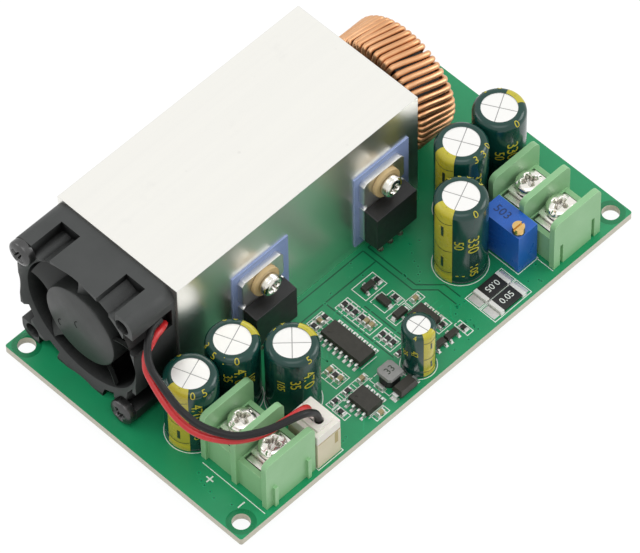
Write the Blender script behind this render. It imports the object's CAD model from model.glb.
"""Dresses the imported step-down converter module: finishes, print, solder, wire and screws.

Each sub-assembly is a class with its sizes as fields. Lengths in the classes are in millimetres
in the row frame, and become metres when a mesh is made.
"""

import logging
import math
import random
from dataclasses import dataclass, field
from enum import Enum
from typing import Callable, Iterable, Optional, Sequence

import bpy
from mathutils import Matrix, Vector


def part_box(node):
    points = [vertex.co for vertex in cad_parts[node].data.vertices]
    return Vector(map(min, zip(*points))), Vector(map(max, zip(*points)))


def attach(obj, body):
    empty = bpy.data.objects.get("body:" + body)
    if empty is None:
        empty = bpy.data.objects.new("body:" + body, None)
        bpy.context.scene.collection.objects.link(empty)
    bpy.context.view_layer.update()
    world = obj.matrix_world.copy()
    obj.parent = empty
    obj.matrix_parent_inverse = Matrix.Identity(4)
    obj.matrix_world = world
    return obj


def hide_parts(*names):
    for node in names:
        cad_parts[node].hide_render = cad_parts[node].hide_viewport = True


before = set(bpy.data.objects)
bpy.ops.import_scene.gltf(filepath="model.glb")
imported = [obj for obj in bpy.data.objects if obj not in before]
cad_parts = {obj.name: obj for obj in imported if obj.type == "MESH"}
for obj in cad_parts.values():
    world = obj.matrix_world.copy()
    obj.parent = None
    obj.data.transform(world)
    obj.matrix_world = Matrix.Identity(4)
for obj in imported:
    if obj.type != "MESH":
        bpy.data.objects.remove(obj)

LOG = logging.getLogger("module_looks")
MM = 0.001
Point = Sequence[float]
Colour = tuple[float, float, float]
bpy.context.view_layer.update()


# ---------------------------------------------------------------- meshes


class Form:
    """Points and faces in millimetres, gathered from simple shapes into one mesh."""

    def __init__(self) -> None:
        """Starts with no geometry."""
        self.points: list[Vector] = []
        self.faces: list[tuple[int, ...]] = []

    def add(self, points: Iterable[Point], faces: Iterable[Sequence[int]],
        place: Matrix = Matrix()) -> "Form":
        """Adds loose points and faces.

        Args:
            points: corners in millimetres.
            faces: corner numbers of each face, counted from the first of these points.
            place: matrix that puts the points in the row frame.
        Returns:
            The form itself.
        """
        base = len(self.points)
        self.points += [place @ Vector(p) for p in points]
        self.faces += [tuple(base + i for i in f) for f in faces]
        return self

    def prism(self, outline: Sequence[Point], low: float, high: float, place: Matrix = Matrix()) -> "Form":
        """Adds a flat outline drawn up from one height to another.

        Args:
            outline: corners, anticlockwise.
            low: height of the underside.
            high: height of the top.
            place: matrix into the row frame.
        Returns:
            The form itself.
        """
        n = len(outline)
        points = [(x, y, low) for x, y in outline] + [(x, y, high) for x, y in outline]
        sides = [(i, (i + 1) % n, n + (i + 1) % n, n + i) for i in range(n)]
        return self.add(points, [tuple(range(n))[::-1], tuple(range(n, 2 * n))] + sides, place)

    def block(self, low: Point, high: Point, place: Matrix = Matrix()) -> "Form":
        """Adds a box between two corners."""
        outline = [(low[0], low[1]), (high[0], low[1]), (high[0], high[1]), (low[0], high[1])]
        return self.prism(outline, low[2], high[2], place)

    def frame_line(self, low: Point, high: Point, width: float, z: float, rise: float) -> "Form":
        """Adds a printed rectangle with mitred corners.

        Args:
            low: lowest X and Y of the rectangle's middle line.
            high: highest X and Y of it.
            width: width of the line.
            z: height that it lies at.
            rise: thickness of the ink.
        Returns:
            The form itself.
        """
        h = width / 2
        rings = [[(low[0] - d, low[1] - d), (high[0] + d, low[1] - d), (high[0] + d, high[1] + d),
                  (low[0] - d, high[1] + d)] for d in (h, -h)]
        points = [(x, y, level) for level in (z, z + rise) for ring in rings for x, y in ring]
        faces = []
        for i in range(4):
            j = (i + 1) % 4
            faces += [(8 + i, 8 + j, 12 + j, 12 + i), (4 + i, 4 + j, j, i), (i, j, 8 + j, 8 + i),
                      (12 + i, 12 + j, 4 + j, 4 + i)]
        return self.add(points, faces)

    def slab(self, rows: int, cols: int, top: Callable, bottom: Callable, place: Matrix = Matrix()) -> "Form":
        """Adds a closed sheet between two surfaces.

        Args:
            rows: number of divisions along the first direction.
            cols: number along the second.
            top: gives the upper point for two shares from 0 to 1.
            bottom: gives the lower one.
            place: matrix into the row frame.
        Returns:
            The form itself.
        """
        shares = [(i / rows, j / cols) for i in range(rows + 1) for j in range(cols + 1)]
        points = [top(u, v) for u, v in shares] + [bottom(u, v) for u, v in shares]
        w, base = cols + 1, len(shares)
        faces = []
        for i in range(rows):
            for j in range(cols):
                a = i * w + j
                faces += [(a, a + w, a + w + 1, a + 1),
                    (base + a, base + a + 1, base + a + w + 1, base + a + w)]
        rim = [j for j in range(cols)] + [i * w + cols for i in range(rows)]
        rim += [rows * w + j for j in range(cols, 0, -1)] + [i * w for i in range(rows, 0, -1)]
        for k, a in enumerate(rim):
            b = rim[(k + 1) % len(rim)]
            faces.append((a, b, base + b, base + a))
        return self.add(points, faces, place)

    def stroke(self, line: Sequence[Point], width: float, z: float, rise: float) -> "Form":
        """Adds a flat strip along a line of points.

        Args:
            line: points in the plane.
            width: width of the strip.
            z: height of its underside.
            rise: its thickness.
        Returns:
            The form itself.
        """
        pts = [Vector((p[0], p[1], 0)) for p in line]
        left, right = [], []
        for i, p in enumerate(pts):
            before = (p - pts[i - 1]).normalized() if i else (pts[1] - p).normalized()
            after = (pts[i + 1] - p).normalized() if i < len(pts) - 1 else before
            along = (before + after).normalized()
            across = Vector((-along.y, along.x, 0)) * (width / 2 / max(0.4, along.dot(before)))
            left.append(p + across)
            right.append(p - across)
        for i in range(len(pts) - 1):
            quad = [right[i], right[i + 1], left[i + 1], left[i]]
            self.prism([(q.x, q.y) for q in quad], z, z + rise)
        return self

    def lathe(self, profile: Sequence[Point], steps: int, place: Matrix = Matrix(),
        span: tuple[float, float] = (0, 360)) -> "Form":
        """Adds a profile of (radius, height) turned about Z.

        Args:
            profile: points from the axis or an inner rim outwards and back.
            steps: number of flats round a full turn.
            place: matrix into the row frame.
            span: first and last angle in degrees.
        Returns:
            The form itself.
        """
        full = span[1] - span[0] >= 360
        count = steps if full else max(2, int(steps * (span[1] - span[0]) / 360)) + 1
        width = (span[1] - span[0]) / (steps if full else count - 1)
        points, faces, n = [], [], len(profile)
        for k in range(count):
            a = math.radians(span[0] + width * k)
            points += [(r * math.cos(a), r * math.sin(a), z) for r, z in profile]
        for k in range(count if full else count - 1):
            m = (k + 1) % count
            for i in range(n - 1):
                ring = [k * n + i, m * n + i, m * n + i + 1, k * n + i + 1]
                if profile[i][0] < 1e-6:
                    ring.pop(1)
                elif profile[i + 1][0] < 1e-6:
                    ring.pop(2)
                faces.append(tuple(ring))
        return self.add(points, faces, place)

    def tube(self, path: Sequence[Point], radius: float, sides: int,
        up: Optional[Sequence[Point]] = None) -> "Form":
        """Adds a round tube along a path, with closed ends.

        Args:
            path: points of the middle line.
            radius: radius of the tube.
            sides: number of flats round it.
            up: a direction across the path at each point; carried along the path when left out.
        Returns:
            The form itself.
        """
        pts = [Vector(p) for p in path]
        n = len(pts)
        across = Vector((0.31, 0.52, 0.8))
        points = []
        for i, p in enumerate(pts):
            along = (pts[min(i + 1, n - 1)] - pts[max(i - 1, 0)]).normalized()
            if up is not None:
                across = Vector(up[i])
            across = (across - along * across.dot(along)).normalized()
            other = along.cross(across)
            for k in range(sides):
                a = 2 * math.pi * k / sides
                points.append(p + (across * math.cos(a) + other * math.sin(a)) * radius)
        faces = []
        for i in range(n - 1):
            for k in range(sides):
                j = (k + 1) % sides
                faces.append((i * sides + k, i * sides + j, (i + 1) * sides + j, (i + 1) * sides + k))
        faces.append(tuple(range(sides))[::-1])
        faces.append(tuple((n - 1) * sides + k for k in range(sides)))
        return self.add(points, faces)

    def shape(self, warp: Callable[[Vector], Point]) -> "Form":
        """Moves every point by a rule and gives the form back."""
        self.points = [Vector(warp(p)) for p in self.points]
        return self

    def join(self, other: "Form", place: Matrix = Matrix()) -> "Form":
        """Adds another form's points and faces, and gives this one back."""
        return self.add(other.points, other.faces, place)

    def piece(
        self,
        name: str,
        finish: bpy.types.Material,
        body: str = "module",
        slot: Optional[str] = None,
        bevel: float = 0,
        smooth: float = 35,
        replaces: Sequence[str] = (),
    ) -> bpy.types.Object:
        """Makes the mesh object, gives it its finish and lets it ride.

        Args:
            name: name of the piece.
            finish: its material.
            body: CAD body that it rides on.
            slot: material slot of the record, if it has one.
            bevel: width of the rounding on its edges, in millimetres.
            smooth: edges flatter than this many degrees are shaded smooth.
            replaces: CAD nodes that it stands for.
        Returns:
            The object.
        """
        mesh = bpy.data.meshes.new(name)
        mesh.from_pydata([p * MM for p in self.points], [], self.faces)
        mesh.validate()
        mesh.materials.append(finish)
        mesh.polygons.foreach_set("use_smooth", [True] * len(mesh.polygons))
        mesh.set_sharp_from_angle(angle=math.radians(smooth))
        obj = bpy.data.objects.new(name, mesh)
        bpy.context.scene.collection.objects.link(obj)
        if bevel:
            round_edges(obj, bevel)
        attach(obj, body)
        if replaces:
            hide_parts(*replaces)
        LOG.info("%s: %d faces on %s", name, len(mesh.polygons), body)
        return obj


def round_edges(obj: bpy.types.Object, width: float, segments: int = 2) -> None:
    """Adds a weld and a bevel that round an object's sharp edges.

    Args:
        obj: piece or CAD node.
        width: width of the rounding in millimetres.
        segments: number of flats across it.
    """
    weld = obj.modifiers.new("weld", "WELD")
    weld.merge_threshold = 2e-6
    bevel = obj.modifiers.new("edges", "BEVEL")
    bevel.width = width * MM
    bevel.segments = segments
    bevel.limit_method = "ANGLE"
    bevel.angle_limit = math.radians(38)
    bevel.harden_normals = True
    bevel.use_clamp_overlap = True


def move(x: float = 0, y: float = 0, z: float = 0) -> Matrix:
    """A matrix that moves by millimetres."""
    return Matrix.Translation((x, y, z))


def turn(degrees: float, axis: str = "Z") -> Matrix:
    """A matrix that turns about an axis."""
    return Matrix.Rotation(math.radians(degrees), 4, axis)


def box_of(node: str) -> tuple[Vector, Vector]:
    """Lowest and highest corner of a CAD node, in millimetres."""
    low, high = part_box(node)
    return low / MM, high / MM


def islands(node: str) -> list[tuple[Vector, Vector]]:
    """Boxes of the separate solids in a CAD node.

    Args:
        node: name of the CAD node.
    Returns:
        Lowest and highest corner of each solid in millimetres, in order of X and Y.
    """
    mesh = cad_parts[node].data
    keys = [tuple(round(c, 7) for c in v.co) for v in mesh.vertices]
    parent: dict[tuple, tuple] = {k: k for k in keys}

    def root(k: tuple) -> tuple:
        """Follows a point to the one that stands for its solid."""
        while parent[k] != k:
            parent[k] = parent[parent[k]]
            k = parent[k]
        return k

    for e in mesh.edges:
        a, b = root(keys[e.vertices[0]]), root(keys[e.vertices[1]])
        if a != b:
            parent[a] = b
    found: dict[tuple, list[tuple]] = {}
    for k in set(keys):
        found.setdefault(root(k), []).append(k)
    boxes = []
    for group in found.values():
        low = Vector([min(k[i] for k in group) for i in range(3)]) / MM
        high = Vector([max(k[i] for k in group) for i in range(3)]) / MM
        boxes.append((low, high))
    return sorted(boxes, key=lambda b: (round(b[0].x, 2), round(b[0].y, 2)))


def lettering(text: str, height: float, spacing: float = 1.0) -> Form:
    """Plain figures as a thin flat form, centred on the origin in the XY plane.

    Args:
        text: digits and signs.
        height: height of the figures in millimetres.
        spacing: distance between figures, as a share of the usual one.
    Returns:
        A form 0.02 mm thick, standing on Z = 0.
    """
    curve = bpy.data.curves.new("figures", "FONT")
    curve.body = text
    curve.size = height / 0.7
    curve.space_character = spacing
    curve.align_x, curve.align_y = "CENTER", "CENTER"
    curve.extrude = 0.01
    curve.resolution_u = 3
    obj = bpy.data.objects.new("figures", curve)
    bpy.context.scene.collection.objects.link(obj)
    bpy.context.view_layer.update()
    mesh = obj.to_mesh()
    form = Form().add([v.co for v in mesh.vertices], [tuple(p.vertices) for p in mesh.polygons],
        move(0, 0, 0.01))
    obj.to_mesh_clear()
    bpy.data.objects.remove(obj)
    bpy.data.curves.remove(curve)
    return form


# ---------------------------------------------------------------- shader groups


class Sketch:
    """A node tree with short calls for placing and joining nodes."""

    def __init__(self, tree: bpy.types.NodeTree) -> None:
        """Keeps the tree that the nodes go into."""
        self.tree = tree

    def node(self, kind: str, inputs: Optional[dict] = None, **settings: object) -> bpy.types.Node:
        """Adds a node.

        Args:
            kind: Blender's name of the node type.
            inputs: socket name or number to a value or another node's output.
            settings: the node's own settings.
        Returns:
            The node.
        """
        made = self.tree.nodes.new(kind)
        for key, value in settings.items():
            setattr(made, key, value)
        for key, value in (inputs or {}).items():
            if isinstance(value, bpy.types.NodeSocket):
                self.tree.links.new(value, made.inputs[key])
            else:
                made.inputs[key].default_value = value
        return made

    def mix(self, factor: object, a: object, b: object, how: str = "MIX") -> bpy.types.NodeSocket:
        """Mixes two colours and gives the result's socket."""
        made = self.node("ShaderNodeMix", {0: factor, 6: a, 7: b}, data_type="RGBA", blend_type=how)
        return made.outputs[2]

    def sum(self, operation: str, *values: object) -> bpy.types.NodeSocket:
        """Does one piece of arithmetic and gives the result's socket."""
        return self.node("ShaderNodeMath", dict(enumerate(values)), operation=operation).outputs[0]

    def between(self, value: object, low: float, high: float, to_low: float = 0,
        to_high: float = 1) -> bpy.types.NodeSocket:
        """Maps a range onto another, held at its ends, and gives the result's socket."""
        made = self.node("ShaderNodeMapRange", {0: value, 1: low, 2: high, 3: to_low, 4: to_high})
        made.clamp = True
        return made.outputs[0]


def new_group(name: str, inputs: dict[str, object], outputs: dict[str, str]) -> tuple[bpy.types.NodeTree,
    Sketch, object, object]:
    """Starts a shader group with named sockets.

    Args:
        name: name of the group.
        inputs: socket name to its usual value, which also says its kind.
        outputs: socket name to its kind.
    Returns:
        The group, a sketch of it, its input sockets and its output node.
    """
    tree = bpy.data.node_groups.new(name, "ShaderNodeTree")
    kinds = {float: "NodeSocketFloat", int: "NodeSocketFloat"}
    for key, value in inputs.items():
        kind = kinds.get(type(value)) or ("NodeSocketColor" if len(value) == 4 else "NodeSocketVector")
        tree.interface.new_socket(key, in_out="INPUT", socket_type=kind).default_value = value
    for key, kind in outputs.items():
        tree.interface.new_socket(key, in_out="OUTPUT", socket_type=kind)
    sketch = Sketch(tree)
    return tree, sketch, sketch.node("NodeGroupInput").outputs, sketch.node("NodeGroupOutput")


class Effects:
    """The shader groups that several finishes share, each built once."""

    def __init__(self) -> None:
        """Builds the groups."""
        self.mottle = self._mottle()
        self.relief = self._relief()
        self.edges = self._edges()
        self.specks = self._specks()
        self.recess = self._recess()

    @staticmethod
    def _place(sketch: Sketch, stretch: object) -> bpy.types.NodeSocket:
        """Object coordinates, stretched, for a group's textures."""
        where = sketch.node("ShaderNodeTexCoord").outputs["Object"]
        return sketch.node("ShaderNodeVectorMath", {0: where, 1: stretch}, operation="MULTIPLY").outputs[0]

    def _mottle(self) -> bpy.types.NodeTree:
        """Soft cloudy changes of colour and gloss."""
        tree, s, given, out = new_group(
            "Soft mottle",
            {"Color": (0.5, 0.5, 0.5, 1), "Shade": (0.4, 0.4, 0.4, 1), "Amount": 0.5, "Scale": 300.0,
             "Roughness": 0.5, "Spread": 0.1, "Stretch": (1.0, 1.0, 1.0)},
            {"Color": "NodeSocketColor", "Roughness": "NodeSocketFloat"})
        place = self._place(s, given["Stretch"])
        cloud = s.node("ShaderNodeTexNoise",
            {"Vector": place, "Scale": given["Scale"], "Detail": 5.0, "Roughness": 0.6})
        mask = s.between(cloud.outputs[0], 0.35, 0.65)
        s.tree.links.new(s.mix(s.sum("MULTIPLY", mask, given["Amount"]), given["Color"], given["Shade"]),
            out.inputs["Color"])
        swing = s.sum("MULTIPLY", s.sum("SUBTRACT", mask, 0.5), given["Spread"])
        s.tree.links.new(s.sum("ADD", given["Roughness"], swing), out.inputs["Roughness"])
        return tree

    def _relief(self) -> bpy.types.NodeTree:
        """Fine grain of a moulded, cast or brushed surface, as a height."""
        tree, s, given, out = new_group(
            "Fine relief", {"Scale": 4000.0, "Coarse": 0.3, "Stretch": (1.0, 1.0, 1.0)},
            {"Height": "NodeSocketFloat"})
        place = self._place(s, given["Stretch"])
        fine = s.node("ShaderNodeTexNoise", {"Vector": place, "Scale": given["Scale"], "Detail": 3.0})
        slow = s.node("ShaderNodeTexNoise",
            {"Vector": place, "Scale": s.sum("MULTIPLY", given["Scale"], 0.12), "Detail": 2.0})
        height = s.sum("MULTIPLY_ADD", slow.outputs[0], given["Coarse"], fine.outputs[0])
        s.tree.links.new(height, out.inputs["Height"])
        return tree

    def _edges(self) -> bpy.types.NodeTree:
        """Paler or polished edges, found from how the surface turns nearby."""
        tree, s, given, out = new_group(
            "Edge touch",
            {"Color": (0.5, 0.5, 0.5, 1), "Edge Color": (0.8, 0.8, 0.8, 1), "Amount": 0.5, "Radius": 0.0002},
            {"Color": "NodeSocketColor"})
        soft = s.node("ShaderNodeBevel", {"Radius": given["Radius"]}, samples=4)
        true = s.node("ShaderNodeNewGeometry").outputs["Normal"]
        same = s.node("ShaderNodeVectorMath", {0: soft.outputs[0], 1: true},
            operation="DOT_PRODUCT").outputs["Value"]
        mask = s.sum("MULTIPLY", s.between(same, 0.99, 0.8), given["Amount"])
        s.tree.links.new(s.mix(mask, given["Color"], given["Edge Color"]), out.inputs["Color"])
        return tree

    def _recess(self) -> bpy.types.NodeTree:
        """Darker colour deep inside ducts and pockets."""
        tree, s, given, out = new_group(
            "Dark recess", {"Color": (0.5, 0.5, 0.5, 1), "Amount": 0.5, "Distance": 0.012},
            {"Color": "NodeSocketColor"})
        around = s.node("ShaderNodeAmbientOcclusion", {"Distance": given["Distance"]}, samples=8)
        mask = s.sum("MULTIPLY", s.between(around.outputs["AO"], 0.75, 0.3), given["Amount"])
        s.tree.links.new(s.mix(mask, given["Color"], (0, 0, 0, 1)), out.inputs["Color"])
        return tree

    def _specks(self) -> bpy.types.NodeTree:
        """Scattered specks of dust and small marks."""
        tree, s, given, out = new_group(
            "Dust specks",
            {"Color": (0.5, 0.5, 0.5, 1), "Speck Color": (0.7, 0.7, 0.68, 1), "Amount": 0.5, "Scale": 700.0},
            {"Color": "NodeSocketColor"})
        where = s.node("ShaderNodeTexCoord").outputs["Object"]
        cells = s.node("ShaderNodeTexVoronoi", {"Vector": where, "Scale": given["Scale"], "Randomness": 1.0})
        near = s.between(cells.outputs["Distance"], 0.1, 0.04)
        some = s.node("ShaderNodeSeparateColor", {0: cells.outputs["Color"]}).outputs[0]
        mask = s.sum("MULTIPLY", s.sum("MULTIPLY", near, s.between(some, 0.6, 0.75)), given["Amount"])
        s.tree.links.new(s.mix(mask, given["Color"], given["Speck Color"]), out.inputs["Color"])
        return tree


@dataclass(frozen=True)
class Finish:
    """One surface finish: its colours, gloss, cloudiness and grain."""

    name: str
    colour: Colour
    shade: Colour
    amount: float = 0.5
    scale: float = 350
    roughness: float = 0.5
    spread: float = 0.12
    metallic: float = 0
    grain: float = 5000
    depth: float = 0.15
    coarse: float = 0.3
    stretch: Colour = (1, 1, 1)
    edge: Colour = (0.7, 0.7, 0.7)
    edge_amount: float = 0
    edge_radius: float = 0.15
    specks: float = 0
    speck: Colour = (0.6, 0.6, 0.58)
    speck_scale: float = 900
    coat: float = 0
    coat_roughness: float = 0.1
    specular: float = 0.5
    through: float = 0
    recess: float = 0
    recess_reach: float = 0.0012

    def make(self, effects: Effects) -> bpy.types.Material:
        """Builds the material.

        Args:
            effects: the shared shader groups.
        Returns:
            The material.
        """
        material = bpy.data.materials.new(self.name)
        material.use_nodes = True
        s = Sketch(material.node_tree)
        shader = material.node_tree.nodes["Principled BSDF"]
        clouds = s.node("ShaderNodeGroup", node_tree=effects.mottle)
        clouds.inputs["Color"].default_value = (*self.colour, 1)
        clouds.inputs["Shade"].default_value = (*self.shade, 1)
        for key, value in (("Amount", self.amount), ("Scale", self.scale), ("Roughness", self.roughness),
                           ("Spread", self.spread), ("Stretch", self.stretch)):
            clouds.inputs[key].default_value = value
        colour = self.tint(s, clouds.outputs["Color"])
        if self.specks:
            dust = s.node("ShaderNodeGroup", node_tree=effects.specks)
            s.tree.links.new(colour, dust.inputs["Color"])
            dust.inputs["Speck Color"].default_value = (*self.speck, 1)
            dust.inputs["Amount"].default_value = self.specks
            dust.inputs["Scale"].default_value = self.speck_scale
            colour = dust.outputs["Color"]
        if self.edge_amount:
            rim = s.node("ShaderNodeGroup", node_tree=effects.edges)
            s.tree.links.new(colour, rim.inputs["Color"])
            rim.inputs["Edge Color"].default_value = (*self.edge, 1)
            rim.inputs["Amount"].default_value = self.edge_amount
            rim.inputs["Radius"].default_value = self.edge_radius * MM
            colour = rim.outputs["Color"]
        if self.recess:
            deep = s.node("ShaderNodeGroup", node_tree=effects.recess)
            s.tree.links.new(colour, deep.inputs["Color"])
            deep.inputs["Amount"].default_value = self.recess
            deep.inputs["Distance"].default_value = self.recess_reach
            colour = deep.outputs["Color"]
        s.tree.links.new(colour, shader.inputs["Base Color"])
        s.tree.links.new(clouds.outputs["Roughness"], shader.inputs["Roughness"])
        grain = s.node("ShaderNodeGroup", node_tree=effects.relief)
        grain.inputs["Scale"].default_value = self.grain
        grain.inputs["Coarse"].default_value = self.coarse
        grain.inputs["Stretch"].default_value = self.stretch
        bump = s.node("ShaderNodeBump",
            {"Height": grain.outputs["Height"], "Strength": self.depth, "Distance": 0.00005})
        s.tree.links.new(bump.outputs[0], shader.inputs["Normal"])
        shader.inputs["Metallic"].default_value = self.metallic
        shader.inputs["Coat Weight"].default_value = self.coat
        shader.inputs["Coat Roughness"].default_value = self.coat_roughness
        shader.inputs["Specular IOR Level"].default_value = self.specular
        if self.through:
            shader.inputs["Subsurface Weight"].default_value = self.through
            shader.inputs["Subsurface Radius"].default_value = (0.4, 1.0, 0.4)
            shader.inputs["Subsurface Scale"].default_value = 0.001
        return material

    def tint(self, s: Sketch, colour: bpy.types.NodeSocket) -> bpy.types.NodeSocket:
        """Lets a finish of its own kind change the colour; a plain one leaves it."""
        return colour


@dataclass(frozen=True)
class MaskFinish(Finish):
    """Solder mask on the board's faces, with the bare laminate on its cut edges."""

    laminate: Colour = (0.62, 0.58, 0.46)

    def tint(self, s: Sketch, colour: bpy.types.NodeSocket) -> bpy.types.NodeSocket:
        """Puts the laminate's colour, with its layers, on the faces that look sideways."""
        normal = s.node("ShaderNodeNewGeometry").outputs["Normal"]
        upright = s.sum("ABSOLUTE", s.node("ShaderNodeSeparateXYZ", {0: normal}).outputs[2])
        side = s.between(upright, 0.6, 0.3)
        where = s.node("ShaderNodeTexCoord").outputs["Object"]
        layers = s.node("ShaderNodeTexNoise", {"Vector": s.node(
            "ShaderNodeVectorMath", {0: where, 1: (300, 300, 4500)}, operation="MULTIPLY").outputs[0],
            "Scale": 1.0})
        ply = s.mix(layers.outputs[0], (*self.laminate, 1), (*[c * 0.8 for c in self.laminate], 1))
        return s.mix(side, colour, ply)


@dataclass(frozen=True)
class SinkFinish(Finish):
    """Extruded aluminium with faint lines along its length and darker stains."""

    def tint(self, s: Sketch, colour: bpy.types.NodeSocket) -> bpy.types.NodeSocket:
        """Adds long draw lines and a few soft stains."""
        where = s.node("ShaderNodeTexCoord").outputs["Object"]
        drawn = s.node("ShaderNodeVectorMath", {0: where, 1: (8, 900, 900)}, operation="MULTIPLY").outputs[0]
        lines = s.node("ShaderNodeTexNoise", {"Vector": drawn, "Scale": 1.0, "Detail": 4.0}).outputs[0]
        stain = s.node("ShaderNodeTexNoise",
            {"Vector": where, "Scale": 90.0, "Detail": 6.0, "Roughness": 0.7}).outputs[0]
        lined = s.mix(s.between(lines, 0.4, 0.75, 0, 0.05), colour, (0.62, 0.63, 0.63, 1))
        return s.mix(s.between(stain, 0.62, 0.8, 0, 0.16), lined, (0.55, 0.55, 0.54, 1))


@dataclass(frozen=True)
class WireFinish(Finish):
    """Enamelled copper, redder and paler from turn to turn."""

    def tint(self, s: Sketch, colour: bpy.types.NodeSocket) -> bpy.types.NodeSocket:
        """Changes the tone of the enamel slowly along the winding."""
        where = s.node("ShaderNodeTexCoord").outputs["Object"]
        slow = s.node("ShaderNodeTexNoise", {"Vector": where, "Scale": 160.0, "Detail": 2.0}).outputs[0]
        return s.mix(s.between(slow, 0.3, 0.7, 0, 0.6), colour, (0.62, 0.3, 0.13, 1))


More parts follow.
